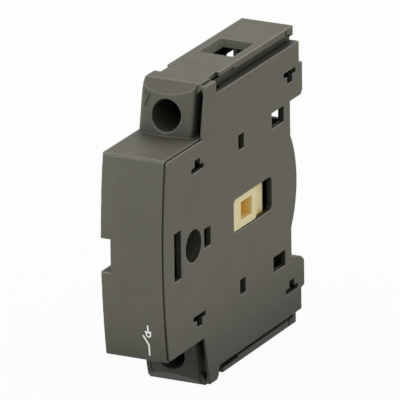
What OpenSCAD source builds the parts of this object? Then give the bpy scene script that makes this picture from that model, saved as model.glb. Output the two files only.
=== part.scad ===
// Additional switch pole: one narrow pole that clips to the side of a modular load switch.
// X runs across the pole, Y runs back to the rail and Z runs up.
// The origin is the middle of the rail seat.

/* [Housing] */
// Width across both side walls, one pole pitch
pole_w = 15; // [14:0.5:17]
// Height of each terminal over the nose
terminal_h = 11.3; // [10.7:0.1:12]
// Height of the nose that shows through the panel cut-out
nose_h = 45; // [43:0.5:46]
// From the rail seat to the top and bottom edges of the nose front
nose_depth = 58.2; // [56:0.2:62]
// How far the nose front bulges at mid height
crown = 1.7; // [1:0.1:2.4]
// From the rail seat to the front edges of the side skins beside the terminals
shoulder_depth = 41.5; // [40:0.5:43]
// Lean of the terminal faces, per millimetre of height
lean = 0.2; // [0.1:0.02:0.24]
// How far the terminal faces bulge in front of the side skins
face_bulge = 2; // [1.4:0.1:2.4]
// Radius of the bulge across the pole
face_r = 18; // [15:0.5:24]
// How far the housing reaches behind the rail seat
tail = 4.5; // [4:0.25:5.5]
// Thickness of the side skins
skin = 1.2; // [1:0.1:1.5]
// Thickness of the rim walls
wall = 1.4; // [1.1:0.1:1.8]
// Rounding of the upright edges of the nose
front_r = 0.3; // [0.2:0.1:1]
// Bevel on the level edges of the nose
edge = 0.3; // [0.2:0.1:0.8]
// Depth and width of the seam groove round the right edge of the nose
seam = 0.4; // [0.3:0.05:0.6]
// How far the wire blocks stand in from the outer sides
block_inset = 1.4; // [1:0.1:1.8]
// How far the long edges of the side skins stay below the wire entries
skin_drop = 3.3; // [3:0.1:3.6]
// How far the front tabs of the side skins stay below the wire entries
tab_drop = 0.4; // [0.3:0.1:1]
// Length of the front tabs
tab_l = 6.3; // [5.5:0.1:7]

/* [Rail seat] */
// Width of the mounting rail
rail_w = 35; // [34:0.5:36]
// Play of the rail between its two shoulders
rail_play = 0.5; // [0.2:0.1:0.8]
// Height of the rail's middle over the pole's middle
rail_lift = 0.45; // [0:0.05:0.6]
// How far the hooks reach past the tail
hook = 1.5; // [1:0.1:2]
// Radius of the round back wall between the rail lips
bulge_r = 21.1; // [20.6:0.1:21.8]
// Depth of the centre of that wall
bulge_depth = 18.3; // [17.8:0.1:18.5]

/* [Drive] */
// Travel of the drive slider from open to closed
travel = 6; // [5:0.25:6.2]
// Front end of the slider's face, from the rail seat
slider_depth = 27; // [26.5:0.1:27.5]
// Length of the slider's face
slider_l = 10.8; // [10:0.1:11.2]
// Height of the slider's face
slider_h = 7.2; // [6.4:0.1:7.6]
// Height of the slider's middle
slider_z = 0.4; // [0:0.1:0.6]
// Rounding of the slider's face
slider_r = 1; // [0.6:0.1:1.4]
// Length of the drive socket
socket_l = 5.3; // [5:0.1:6]
// Height of the drive socket
socket_h = 4.2; // [4:0.1:4.6]
// Depth of the drive socket
socket_d = 3.6; // [3:0.1:3.8]
// Clearance of the slider in its window and on its guides
slide_gap = 0.2; // [0.15:0.05:0.3]

/* [Contacts] */
// Thickness of the fixed contact strip
strip_t = 1.5; // [1.2:0.1:1.6]
// Width of a moving contact bar
bar_w = 4; // [3.5:0.25:4.5]
// Thickness of a moving contact bar
bar_t = 1.2; // [1:0.1:1.3]
// Open gap between a moving bar and its fixed contact
break_gap = 3; // [2.5:0.25:3.5]
// Thickness of the silver facing on a fixed contact
facing_t = 0.3; // [0.2:0.05:0.4]
// Thickness of an arc plate
plate_t = 0.8; // [0.6:0.1:1]
// Pitch of the arc plates
plate_pitch = 1.7; // [1.5:0.1:1.8]

/* [Terminals] */
// Place of the terminals across the pole
screw_x = -0.4; // [-1:0.1:-0.2]
// Radius of the screw thread
screw_r = 2.4; // [2:0.1:2.5]
// Radius of the screw head
head_r = 3.2; // [2.9:0.1:3.3]
// Height of the screw head
head_l = 3; // [2.4:0.2:3.2]
// Radius of the screwdriver hole in the terminal face
access_r = 3.4; // [3.35:0.05:3.5]
// Bevel of that hole
mouth = 0.35; // [0.2:0.05:0.5]
// How far the clamp closes
clamp_travel = 6; // [5:0.25:6]
// Free length of the clamp opening for the wire
wire_l = 7.6; // [7:0.1:8]
// Width of the clamp opening
cage_w = 6.4; // [6.2:0.1:6.6]
// Thickness of the clamp sheet
cage_t = 1; // [0.8:0.1:1.1]

/* [Windows] */
// Radius of the round link hole through the nose
link_r = 3.65; // [3.3:0.05:3.8]
// Depth of the link hole's axis
link_depth = 46.1; // [45.8:0.1:46.4]
// Clearance of a coupling peg in a coupling window
peg_gap = 0.15; // [0.1:0.05:0.2]
// Length of the coupling pegs on the left side
peg_l = 2.4; // [1.8:0.1:2.8]
// Height of the finger notch in the nose edge
notch_h = 7.5; // [6.5:0.1:8]

/* [Hidden] */
$fn = 48;
// Facets of the large crowned front, close enough to read as a true arc
crown_fn = 360;
// Overcut that keeps cutting faces off the surfaces they cut
eps = 0.2;
// Gap of a seated inner piece to its seat
seat = 0.1;

half_w = pole_w / 2;
inner_x = half_w - skin;
block_x = half_w - block_inset;
rim_x = half_w - seam - seat;
nose_half = nose_h / 2;
half_h = nose_half + terminal_h;
skin_half = half_h - skin_drop;
tab_half = half_h - tab_drop;
tab_depth = shoulder_depth - tab_l;
hook_y = tail + hook;
crown_r = (nose_half * nose_half + crown * crown) / (2 * crown);
crown_y = crown_r - crown - nose_depth;
lean_angle = atan(lean);
lip_h = 2.45;
lip_z = half_h - lip_h;
lip_slope = lean + face_bulge / lip_h;
rail_top = rail_lift + (rail_w + rail_play) / 2;
rail_low = rail_lift - (rail_w + rail_play) / 2;
rail_slope = 0.33;
rail_lip = 1;
hook_out = rail_top + 7.5;
hook_bevel = 0.9;
wall_front = 1.6;
face_wall = 1.5;
seam_back = 1;
top_wall = 1.5;
lip_drop = 0.6;
lip_step = 0.6;
groove_d = 0.8;
curtain_t = 0.8;
notch_l = 4.6;
window_l = 9.6;
slot_left = inner_x - 0.9;
slot_back = -tab_depth - 2.7;

// Plan of the bulged terminal faces: the middle of the arc and its two rounded ends
face_mid = (slot_left - half_w) / 2;
left_r = 2.1;
right_r = 1.1;
left_x = -half_w + left_r;
right_x = slot_left - right_r;

// Slider places
slider_front = -slider_depth;
slider_back = slider_front + slider_l;
core_front = slider_front + 1;
core_back = slider_back - 0.8;
flange_t = 1.1;
flange_half = slider_z + slider_h / 2 + 2.5;
flange_front = slider_front - 4.4;
flange_back = slider_back + 5.2;
slider_face = half_w - slide_gap;
socket_front = slider_front + (slider_l - socket_l) / 2 + 0.75;
socket_low = slider_z + 0.1 - socket_h / 2;
socket_high = slider_z + 0.1 + socket_h / 2;
window_front = slider_front - slide_gap;
window_back = slider_back + travel + 1;
window_r = slider_r + slide_gap;
window_low = slider_z - slider_h / 2 - slide_gap;
window_high = slider_z + slider_h / 2 + slide_gap;
plug_gap = 0.2;

// Contact places
bar_back = slider_back - 3.3;
bar_front = bar_back - bar_w;
knife_front = bar_back + break_gap;
knife_back = knife_front + 7;
strip_z = nose_half - 3.1;
bar_half = strip_z - 3.4;
knife_low = bar_half - 3.5;
bend_r = 0.6;
pair_gap = 0.15;
bar_in = strip_t / 2 + facing_t + pair_gap;
bar_out = bar_in + bar_t;
spring_t = 0.4;
spring_half = bar_half - 4.5;
spring_in = bar_out + 0.05;
spring_out = spring_in + spring_t;
slot_x = spring_out + seat;
plate_low = knife_low - 2;
core_half = plate_low - 2.5;
plate_high = strip_z - 0.4;
plate_count = 4;
plate_back = bar_back - 0.1;
plate_front = plate_back - plate_count * plate_pitch + plate_pitch - plate_t;
notch_x = slot_x + 0.4;
notch_z = bar_half + 0.9;

// Terminal places
tongue_back = -18.9;
tongue_front = tongue_back - strip_t;
tongue_top = half_h - top_wall - 1.9;
screw_z = nose_half + access_r + 0.9;
cage_back = tongue_back + 0.2 + wire_l;
cage_collar = 2;
cage_front = tongue_front - 1.1;
cage_low = screw_z - 3.5;
cage_top = screw_z + 3.1;
screw_tip = tongue_front - seat;
head_back = cage_front - cage_collar - clamp_travel - 1.5;
funnel_y = tongue_back + 0.2 + wire_l / 2;
funnel_out_x = 8.4;
funnel_out_y = wire_l + 2.7;
funnel_in_x = 5.4;
boss_back = head_back + 1.2;
boss_right = block_x - groove_d;
mouth_y = face_y(screw_z) - face_bulge / cos(lean_angle);

// Upper windows of the right side, each a centre depth, a height and two sizes
front_t = [-43.8, nose_half - 5.9, 5.7, 1.2, 2.6, 1.5];
rear_t = [0, hook_out - 1.1, 5.8, 1.2, 2.45, -1.6];
arc_vent = [-24.7, -22, strip_z - 4.8, strip_z - 1.4];
rear_vent = [-8.8, -3, strip_z - 4.8, strip_z - 1.3];
nose_slot = [-nose_depth + 3.1, -nose_depth + 6.4, 5.4];
sight_slot = [-41.2, -38.1, 2.15];

// Pins that hold the cover, each a depth and a height
pin_places = [
    [-nose_depth + 4.8, nose_half - 4.2],
    [plate_front - 9, strip_z - 4.9],
    [-6.3, rail_top + 3.1]];
pin_r = 1;
pin_fit = 0.05;

function face_y(z) = -shoulder_depth + lean * (z - nose_half);

// Depth of the centre of a rounding at x that touches the arc of a terminal face
function round_depth(x, r) = face_r - face_bulge - sqrt(pow(face_r - r, 2) - pow(x - face_mid, 2));

// Place across the pole at which that rounding touches the arc
function touch_x(x, r) = face_mid + (x - face_mid) * face_r / (face_r - r);

function lowered(points) = [for (p = points) [p[0], -p[1]]];

function turned(points) = [for (i = [len(points) - 1 : -1 : 0]) points[i]];

// Both halves of a shape that repeats below the middle
module both() {
    children();
    mirror([0, 0, 1]) children();
}

// A profile drawn in depth and height, as a slab from x0 to x1
module slab(x0, x1) {
    translate([x0, 0, 0]) rotate([90, 0, 90]) linear_extrude(height = x1 - x0) children();
}

// A box between two corners
module block(a, b) {
    translate(a) cube(b - a);
}

// A round bar or hole along X
module round_x(y, z, r, x0, x1) {
    translate([x0, y, z]) rotate([0, 90, 0]) cylinder(r = r, h = x1 - x0);
}

// A bar or hole along X with rounded corners, between two corners in depth and height
module rounded_bar(a, b, r, x0, x1) {
    block([x0, a[0], a[1] + r], [x1, b[0], b[1] - r]);
    block([x0, a[0] + r, a[1]], [x1, b[0] - r, b[1]]);
    for (y = [a[0] + r, b[0] - r], z = [a[1] + r, b[1] - r]) round_x(y, z, r, x0, x1);
}

// A round bar or hole along Y
module round_y(x, z, r, y0, y1) {
    translate([x, y0, z]) rotate([-90, 0, 0]) cylinder(r = r, h = y1 - y0);
}

// Points behind the rail seat, from the bottom up, shared by the skins and the blocks
function tail_points() = [
    [tail, -hook_out], [hook_y, -hook_out + 0.3], [hook_y, rail_low - rail_slope * tail - hook_bevel],
    [tail, rail_low - rail_slope * (tail - rail_lip)], [0, rail_low + rail_slope * rail_lip],
    [0, rail_top], [hook_y - hook_bevel, rail_top], [hook_y, rail_top + hook_bevel],
    [hook_y, hook_out - 0.3], [tail, hook_out]];

// Points of the upper half of the nose, drawn in by inset and cut to its crown later; back is where they end
function nose_points(inset, back) = [
    [-nose_depth - crown - edge + inset, nose_half - 2 * edge - crown - inset],
    [-nose_depth + edge + inset, nose_half - inset],
    [back, nose_half - inset]];

// Points of the part of the cover that lies inside the rim of the nose
function rim_points() = [
    [-nose_depth - crown, nose_half - wall - seat],
    [face_y(nose_half) + seat, nose_half - wall - seat],
    [face_y(nose_half) + seat, nose_half]];

// Outline of a side skin, with the given nose and its front edges set back beside the terminals
module skin_outline(nose, set_back) {
    polygon(concat(
        lowered(nose),
        [[face_y(tab_half) + set_back, -tab_half], [-tab_depth - 0.8, -tab_half],
            [-tab_depth, -tab_half + 0.8], [-tab_depth, -skin_half - 0.9],
            [-tab_depth + 0.7, -skin_half], [tail, -skin_half]],
        tail_points(),
        [[tail, skin_half], [-tab_depth + 0.5, skin_half], [-tab_depth + 0.5, tab_half - 0.6],
            [-tab_depth, tab_half], [face_y(tab_half) + set_back, tab_half]],
        turned(nose)));
}

// Outline of the wire blocks and the rim
module block_outline() {
    nose = nose_points(0, face_y(nose_half));
    polygon(concat(
        lowered(nose),
        [[face_y(half_h), -half_h], [tail, -half_h]],
        tail_points(),
        [[tail, half_h], [face_y(half_h), half_h]],
        turned(nose)));
}

// Outline of the nose alone
module nose_outline() {
    nose = nose_points(0, face_y(nose_half));
    polygon(concat(lowered(nose), turned(nose)));
}

// Outline of the hollow inside the rim
module hollow_outline() {
    polygon([
        [-nose_depth - crown, -nose_half + wall], [face_y(nose_half) + face_wall, -nose_half + wall],
        [face_y(half_h) + face_wall, -half_h + top_wall], [tail - wall, -half_h + top_wall],
        [tail - wall, -hook_out], [hook_y - wall, -hook_out + wall],
        [hook_y - wall, rail_low - rail_slope * tail - wall], [-wall, rail_low - wall],
        [-wall, rail_top + wall], [hook_y - wall, rail_top + wall], [hook_y - wall, hook_out - wall],
        [tail - wall, hook_out], [tail - wall, half_h - top_wall],
        [face_y(half_h) + face_wall, half_h - top_wall],
        [face_y(nose_half) + face_wall, nose_half - wall], [-nose_depth - crown, nose_half - wall]]);
}

// Solid of revolution whose outside is the crowned front with rounded upright edges
module crown_form() {
    translate([0, crown_y, 0]) rotate([0, 90, 0]) rotate_extrude($fn = crown_fn) {
        translate([0, -half_w]) square([crown_r - front_r, pole_w]);
        translate([0, -half_w + front_r]) square([crown_r, pole_w - 2 * front_r]);
        for (s = [-1, 1]) translate([crown_r - front_r, s * (half_w - front_r)]) circle(r = front_r);
    }
}

// Round back wall between the rail lips, grown inwards by t
module bulge(x0, x1, t) {
    intersection() {
        translate([x0, -bulge_depth, 0]) rotate([0, 90, 0])
            cylinder(r = bulge_r - t, h = x1 - x0, $fn = 120);
        block([x0 - 1, -wall - eps, -12], [x1 + 1, tail, 12]);
    }
}

// A coupling window or peg of T section, at the upper place; g draws it in on all sides
module t_section(t, x0, x1, g) {
    translate([x0, t[0], t[1]]) {
        translate([0, -t[2] / 2 + g, -t[3] / 2 + g]) cube([x1 - x0, t[2] - 2 * g, t[3] - 2 * g]);
        translate([0, -t[4] / 2 + g, min(0, t[3] / 2 * sign(t[5]) + t[5])  + (t[5] < 0 ? g : 0)])
            cube([x1 - x0, t[4] - 2 * g, abs(t[5]) + t[3] / 2 - g]);
    }
}

// Solid part of the left housing half, without the hollow
module outer_body() {
    intersection() {
        union() {
            slab(-half_w, -inner_x) skin_outline(nose_points(0, face_y(nose_half) + seam_back), seam_back);
            slab(-block_x, block_x) block_outline();
            intersection() {
                slab(-inner_x, inner_x) block_outline();
                block([-half_w, -80, -skin_half], [half_w, 20, skin_half]);
            }
            slab(-inner_x, rim_x) nose_outline();
            both() lip();
            both() terminal_face();
            bulge(-half_w, inner_x, 0);
        }
        crown_form();
    }
}

// Full-width lip in front of the wire entry
module lip() {
    slab(-half_w + lip_step, inner_x) polygon([
        [face_y(skin_half), skin_half - eps], [face_y(half_h), half_h],
        [-tab_depth, half_h], [-tab_depth, skin_half - eps]]);
}

// Plan of a terminal face: a wide arc with a rounding at each end
module face_plan() {
    left_y = round_depth(left_x, left_r);
    right_y = round_depth(right_x, right_r);
    from = touch_x(left_x, left_r);
    to = touch_x(right_x, right_r);
    intersection() {
        translate([face_mid, face_r - face_bulge]) circle(r = face_r, $fn = 240);
        translate([from, -face_bulge - 1]) square([to - from, face_bulge + 1 + face_wall]);
    }
    translate([left_x, left_y]) circle(r = left_r);
    translate([right_x, right_y]) circle(r = right_r);
    translate([-half_w, left_y]) square([left_r, face_wall - left_y]);
    translate([right_x, right_y]) square([right_r, face_wall - right_y]);
}

// Bulged face of a terminal, leaning back, with a slope up to the wire entry
module terminal_face() {
    intersection() {
        translate([0, -shoulder_depth, nose_half]) rotate([-lean_angle, 0, 0])
            translate([0, 0, -1]) linear_extrude(height = 1.1 * terminal_h + 2) face_plan();
        slab(-half_w, slot_left) polygon([
            [face_y(half_h) - lip_slope * terminal_h, nose_half - eps],
            [face_y(nose_half) + face_wall, nose_half - eps],
            [face_y(half_h) + face_wall, half_h], [face_y(half_h), half_h]]);
    }
}

// Everything behind the crowned front, drawn in by inset
module crown_cut(inset) {
    translate([-half_w - 1, crown_y, 0]) rotate([0, 90, 0])
        cylinder(r = crown_r - inset, h = pole_w + 2, $fn = crown_fn);
}

// Hollow for the mechanism, open to the cover side
module hollow() {
    intersection() {
        slab(-inner_x, half_w + 1) hollow_outline();
        crown_cut(wall_front);
    }
    bulge(-inner_x, half_w + 1, wall);
}

// Tapered wire entry through a block's outer wall
module funnel() {
    deep = top_wall;
    intersection() {
        slab(-half_w, half_w) polygon([
            [funnel_y - wire_l / 2, half_h - deep - eps], [funnel_y - wire_l / 2, half_h - deep],
            [funnel_y - funnel_out_y / 2, half_h], [funnel_y - funnel_out_y / 2, half_h + eps],
            [funnel_y + funnel_out_y / 2, half_h + eps], [funnel_y + funnel_out_y / 2, half_h],
            [funnel_y + wire_l / 2, half_h - deep], [funnel_y + wire_l / 2, half_h - deep - eps]]);
        translate([0, funnel_y + funnel_out_y, 0]) rotate([90, 0, 0])
            linear_extrude(height = 2 * funnel_out_y) polygon([
                [-funnel_in_x / 2, half_h - deep - eps], [-funnel_in_x / 2, half_h - deep],
                [-funnel_out_x / 2, half_h], [-funnel_out_x / 2, half_h + eps],
                [funnel_out_x / 2, half_h + eps], [funnel_out_x / 2, half_h],
                [funnel_in_x / 2, half_h - deep], [funnel_in_x / 2, half_h - deep - eps]]);
    }
}

// Block round the screw head, and the guides of the terminal
module terminal_seat() {
    difference() {
        slab(-inner_x - eps, boss_right) polygon([
            [face_y(nose_half - wall) + face_wall - eps, nose_half - wall - eps],
            [face_y(half_h - top_wall) + face_wall - eps, half_h - top_wall + eps],
            [boss_back, half_h - top_wall + eps], [boss_back, nose_half - wall - eps]]);
        round_y(screw_x, screw_z, access_r + seat, mouth_y, head_back + seat);
        round_y(screw_x, screw_z, screw_r + 0.3, mouth_y, boss_back + 1);
    }
    // Runners beside the clamp
    for (z = [cage_low + 1, cage_top - 2])
        block([-inner_x - eps, boss_back - eps, z],
            [screw_x - cage_w / 2 - cage_t - seat, cage_back + cage_t, z + 1]);
    // Ledge that holds the contact strip down and carries the clamp
    block([-inner_x - eps, tongue_back + 1, strip_z + strip_t + seat / 2],
        [screw_x + 1, cage_back + cage_t, cage_low - seat]);
    // Ledge under the contact strip
    block([-inner_x - eps, knife_front + 2, strip_z - 1.4], [-bar_out - 1, knife_back, strip_z - seat / 2]);
    // Curtains behind the grooves, and the ledge that closes the left one
    for (s = [-1, 1]) translate([s * (block_x - groove_d - curtain_t / 2), 0, 0])
        block([-curtain_t / 2, boss_back - eps, skin_half - seat],
            [curtain_t / 2, tail - wall + eps, half_h - top_wall + eps]);
    block([-inner_x - eps, boss_back - eps, skin_half - 0.7],
        [-block_x + groove_d + eps, tail - wall + eps, skin_half]);
    // Stop at the end of the tongue
    block([-inner_x - eps, tongue_front - 1, tongue_top + seat],
        [screw_x + cage_w / 2, tongue_back + 0.1, half_h - top_wall + eps]);
}

// Guide rail of the slider and seat of the arc plates
module chamber_ribs() {
    block([-inner_x - eps, flange_front, core_half + slide_gap],
        [-slot_x - 0.8, flange_back + travel, core_half + slide_gap + 1.1]);
    block([-inner_x - eps, plate_back - plate_count * plate_pitch, plate_high + seat],
        [inner_x - 1.5, tongue_front - 0.3, plate_high + 1.4]);
}

// Round boss for a cover pin
module pin_boss(y, z) {
    round_x(y, z, 2.2, -inner_x - eps, inner_x - 3);
}

// Left half of the housing: front, terminal faces, wire blocks, rail seat and left skin
module base_shell() {
    color([0.36, 0.355, 0.32]) {
        difference() {
            union() {
                difference() {
                    outer_body();
                    hollow();
                }
                both() terminal_seat();
                both() chamber_ribs();
                both() for (p = pin_places) pin_boss(p[0], p[1]);
                round_x(-link_depth, 0, link_r + 1.2, -inner_x - eps, inner_x);
                // Rib that shows in the small sight window
                block([-inner_x - eps, sight_slot[0] + 0.2, -0.7], [inner_x - 0.9, sight_slot[1] - 0.3, 2.9]);
            }
            both() base_cuts();
            round_x(-link_depth, 0, link_r, -half_w - 1, half_w + 1);
            // Finger notch in the left front edge
            block([-half_w - 1, -nose_depth - crown - 1, -notch_h / 2 + 0.25],
                [-half_w + 2.4, -nose_depth + 5.4, notch_h / 2 + 0.25]);
            // Way of the drive plug through the left skin
            block([-half_w - 1, socket_front - plug_gap, socket_low - plug_gap],
                [-inner_x + eps, socket_front + socket_l + travel + plug_gap, socket_high + plug_gap]);
        }
        both() {
            t_section(front_t, -half_w - peg_l, -inner_x, peg_gap);
            t_section(rear_t, -half_w - peg_l, -inner_x, peg_gap);
        }
    }
}

// Slot between the terminal face and the right skin, closing to a point at its end
module corner_slot() {
    translate([0, slot_back, 0]) rotate([90, 0, 0]) linear_extrude(height = 10) polygon([
        [slot_left, nose_half], [rim_x, nose_half], [rim_x, lip_z],
        [rim_x - 0.5, half_h - 1.1], [slot_left, lip_z]]);
}

// Cuts that repeat at the top and the bottom of the base
module base_cuts() {
    funnel();
    round_y(screw_x, screw_z, access_r, mouth_y - 1, face_y(half_h) + face_wall);
    translate([screw_x, mouth_y, screw_z]) rotate([-90 - lean_angle, 0, 0]) translate([0, 0, -eps])
        cylinder(r1 = access_r + mouth + eps, r2 = access_r - seat, h = mouth + eps + seat);
    corner_slot();
    // Step beside the lip on the left
    block([-half_w - 1, -shoulder_depth - face_bulge, lip_z],
        [-half_w + lip_step, -tab_depth + 1, half_h + 1]);
    // Groove under the edge of the wire block
    for (s = [-1, 1]) translate([s * (block_x + 2 - groove_d), 0, 0])
        block([-2, -tab_depth, skin_half], [2, tail + 1, half_h - top_wall - lip_drop]);
    // Side notches behind the lip
    for (s = [-1, 1]) translate([s * (block_x + 2 - groove_d), 0, 0])
        block([-2, -tab_depth, skin_half], [2, -tab_depth + notch_l, half_h + 1]);
    // Long snap slot under the right edge of the wire block
    block([block_x - groove_d - curtain_t - eps, -tab_depth + 2.3, half_h - 1.7],
        [block_x + 1, -tab_depth + 2.3 + window_l, half_h - 1]);
    // Small snap slots near the tail
    block([block_x - 0.6, 0.9, half_h - 1.7], [block_x + 1, 1.5, half_h - 0.3]);
    block([block_x - 0.6, 2.4, half_h - 2.5], [block_x + 1, 3.1, half_h - 1.8]);
    // Opening beside the rear peg, and the one in the rail seat
    block([-half_w - 1, rear_t[0] - 2.5, rear_t[1] + 0.7],
        [-inner_x + eps, rear_t[0] + tail - wall - 0.2, rear_t[1] + 3.1]);
    block([-1, -wall - 1, rear_vent[2] - 0.4], [inner_x - 1, 1, rear_vent[2] + 2]);
    for (p = pin_places) round_x(p[0], p[1], pin_r + pin_fit, 0, inner_x);
}

// Right half of the housing: a flat skin with the coupling windows
module side_cover() {
    color([0.37, 0.365, 0.32]) {
        difference() {
            union() {
                intersection() {
                    slab(rim_x, half_w) skin_outline(nose_points(seam, face_y(nose_half - seam)), 0);
                    crown_cut(seam);
                }
                intersection() {
                    slab(inner_x, rim_x) skin_outline(rim_points(), 0);
                    crown_cut(wall_front + seat);
                }
                bulge(inner_x, half_w, 0);
            }
            both() cover_cuts();
            round_x(-link_depth, 0, link_r, 0, half_w + 1);
            drive_window();
        }
        both() {
            for (p = pin_places) round_x(p[0], p[1], pin_r, inner_x - 2.5, inner_x + eps);
            // Bead inside the long edge, and the guide beside the clamp
            block([block_x - groove_d + seat, boss_back + seat, skin_half - 1.4],
                [inner_x + eps, tail - wall - seat, skin_half]);
            block([screw_x + cage_w / 2 + cage_t + seat, head_back + 1.4, screw_z - 0.8],
                [inner_x + eps, cage_back + cage_t, screw_z + 0.8]);
        }
    }
}

// Cuts that repeat at the top and the bottom of the cover
module cover_cuts() {
    t_section(front_t, 0, half_w + 1, 0);
    t_section(rear_t, 0, half_w + 1, 0);
    block([0, arc_vent[0], arc_vent[2]], [half_w + 1, arc_vent[1], arc_vent[3]]);
    block([0, rear_vent[0], rear_vent[2]], [half_w + 1, rear_vent[1], rear_vent[3]]);
    block([0, nose_slot[0], -eps], [half_w + 1, nose_slot[1], nose_slot[2]]);
    block([0, sight_slot[0], -eps], [half_w + 1, sight_slot[1], sight_slot[2]]);
    corner_slot();
}

// Window in which the drive slider moves
module drive_window() {
    rounded_bar([window_front, window_low], [window_back, window_high], window_r, 0, half_w + 1);
}

// Moulded slider with the drive socket on the right and the drive plug on the left
module drive_slider() {
    color([0.82, 0.79, 0.6]) difference() {
        union() {
            // Face that fills the window, with rounded corners
            rounded_bar([slider_front, slider_z - slider_h / 2], [slider_back, slider_z + slider_h / 2],
                slider_r, 0, slider_face);
            // Flange behind the cover and core between the guide rails
            block([inner_x - slide_gap - flange_t, flange_front, -flange_half],
                [inner_x - slide_gap, flange_back, flange_half]);
            block([-inner_x + slide_gap, core_front, -core_half],
                [inner_x - slide_gap, core_back, core_half]);
            // Plug for the neighbouring pole
            block([-half_w - peg_l, socket_front + plug_gap, socket_low + plug_gap],
                [-inner_x + 1, socket_front + socket_l - plug_gap, socket_high - plug_gap]);
        }
        // Socket, and the slot that holds the contact bars
        block([slider_face - socket_d, socket_front, socket_low],
            [slider_face + 1, socket_front + socket_l, socket_high]);
        block([-slot_x, bar_front - seat, -core_half - 1], [slot_x, bar_back + seat, core_half + 1]);
    }
}

// One of the two bars that bridge the fixed contacts; side is -1 or 1
module contact_bar(side) {
    color([0.80, 0.48, 0.30]) difference() {
        block([side > 0 ? bar_in : -bar_out, bar_front, -bar_half],
            [side > 0 ? bar_out : -bar_in, bar_back, bar_half]);
        // Lead-in on the closing edge
        both() translate([side * (bar_in - 0.01), bar_back, knife_low - 1]) rotate([0, 0, 45])
            translate([-0.35, -0.35, 0]) cube([0.7, 0.7, bar_half]);
    }
}

// Leaf spring that presses a contact bar inwards
module bar_spring(side) {
    color([0.62, 0.63, 0.65]) {
        block([side > 0 ? spring_in : -spring_out, bar_front + 0.4, -spring_half],
            [side > 0 ? spring_out : -spring_in, bar_back - 0.4, spring_half]);
    }
}

// Fixed contact folded from one strip: tongue in the clamp, web, and knife
module fixed_contact() {
    color([0.78, 0.47, 0.30]) {
        left = screw_x - cage_w / 2 + seat;
        right = screw_x + cage_w / 2 - seat;
        difference() {
            union() {
                block([left, tongue_front, strip_z + bend_r + strip_t], [right, tongue_back, tongue_top]);
                block([left, tongue_back + bend_r, strip_z], [strip_t / 2, knife_back, strip_z + strip_t]);
                block([left, tongue_front, strip_z],
                    [right, tongue_back + bend_r, strip_z + bend_r + strip_t]);
                block([-strip_t / 2, knife_front, knife_low], [strip_t / 2, knife_back, strip_z + strip_t]);
            }
            bend_cut(left, right);
            // Lead-in of the knife
            for (s = [-1, 1]) translate([s * strip_t / 2, knife_front, knife_low - 1]) rotate([0, 0, 45])
                translate([-0.4, -0.4, 0]) cube([0.8, 0.8, strip_z - knife_low]);
        }
    }
}

// Rounds the outside and the inside of the bend between tongue and web
module bend_cut(left, right) {
    outside = bend_r + strip_t;
    difference() {
        block([left - 1, tongue_front - 1, strip_z - 1],
            [right + 1, tongue_front + outside, strip_z + outside]);
        round_x(tongue_front + outside, strip_z + outside, outside, left - 2, right + 2);
    }
    round_x(tongue_back + bend_r, strip_z + strip_t + bend_r, bend_r, left - 2, right + 2);
}

// Silver facing on both flanks of the knife
module silver_facing() {
    color([0.86, 0.86, 0.84]) for (s = [-1, 1])
        translate([s > 0 ? strip_t / 2 : -strip_t / 2 - facing_t, knife_front + 0.6, knife_low])
            cube([facing_t, 4, bar_half - knife_low]);
}

// Steel plate that splits the arc, with a slot for the moving bars; i counts from the back
module arc_plate(i) {
    y = plate_back - (i - 1) * plate_pitch - plate_t;
    color([0.55, 0.56, 0.58]) difference() {
        block([-inner_x + seat, y, plate_low], [inner_x - 0.4, y + plate_t, plate_high]);
        block([-notch_x, y - 1, plate_low - 1], [notch_x, y + plate_t + 1, notch_z]);
        round_y(0, notch_z, notch_x * 0.5, y - 1, y + plate_t + 1);
    }
}

// Clamp that the screw draws forwards on to the wire
module terminal_cage() {
    out = cage_w / 2 + cage_t;
    color([0.72, 0.70, 0.62]) difference() {
        block([screw_x - out, cage_front - cage_collar, cage_low],
            [screw_x + out, cage_back + cage_t, cage_top]);
        block([screw_x - cage_w / 2, cage_front, cage_low - 1],
            [screw_x + cage_w / 2, cage_back, cage_top + 1]);
        round_y(screw_x, screw_z, screw_r + 0.05, cage_front - cage_collar - 1, cage_front + 1);
        // Grip grooves across the wire
        for (z = [cage_low + 1.6 : 1.6 : cage_top - 1])
            round_x(cage_back, z, 0.25, screw_x - cage_w / 2, screw_x + cage_w / 2);
    }
}

// Clamp screw with a cross and a slot in its head
module terminal_screw() {
    slot_w = 1;
    slot_d = 1;
    cross_l = 3.4;
    cross_w = 0.9;
    cross_d = 1.8;
    over = 0.1;
    color([0.68, 0.68, 0.66]) difference() {
        union() {
            round_y(screw_x, screw_z, head_r, head_back - head_l + 0.5, head_back);
            translate([screw_x, head_back - head_l, screw_z]) rotate([-90, 0, 0])
                cylinder(r1 = head_r - 0.5, r2 = head_r, h = 0.5);
            round_y(screw_x, screw_z, screw_r, head_back - eps, screw_tip - 0.6);
            translate([screw_x, screw_tip - 0.6, screw_z]) rotate([-90, 0, 0])
                cylinder(r1 = screw_r, r2 = screw_r - 0.6, h = 0.6);
        }
        translate([screw_x, head_back - head_l - over, screw_z]) {
            translate([-head_r - 1, 0, -slot_w / 2]) cube([2 * head_r + 2, slot_d + over, slot_w]);
            for (a = [0, 90]) rotate([0, a, 0]) translate([-cross_l / 2, 0, -cross_w / 2])
                cube([cross_l, cross_d + over, cross_w]);
        }
    }
}

module lower() {
    mirror([0, 0, 1]) children();
}

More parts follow.
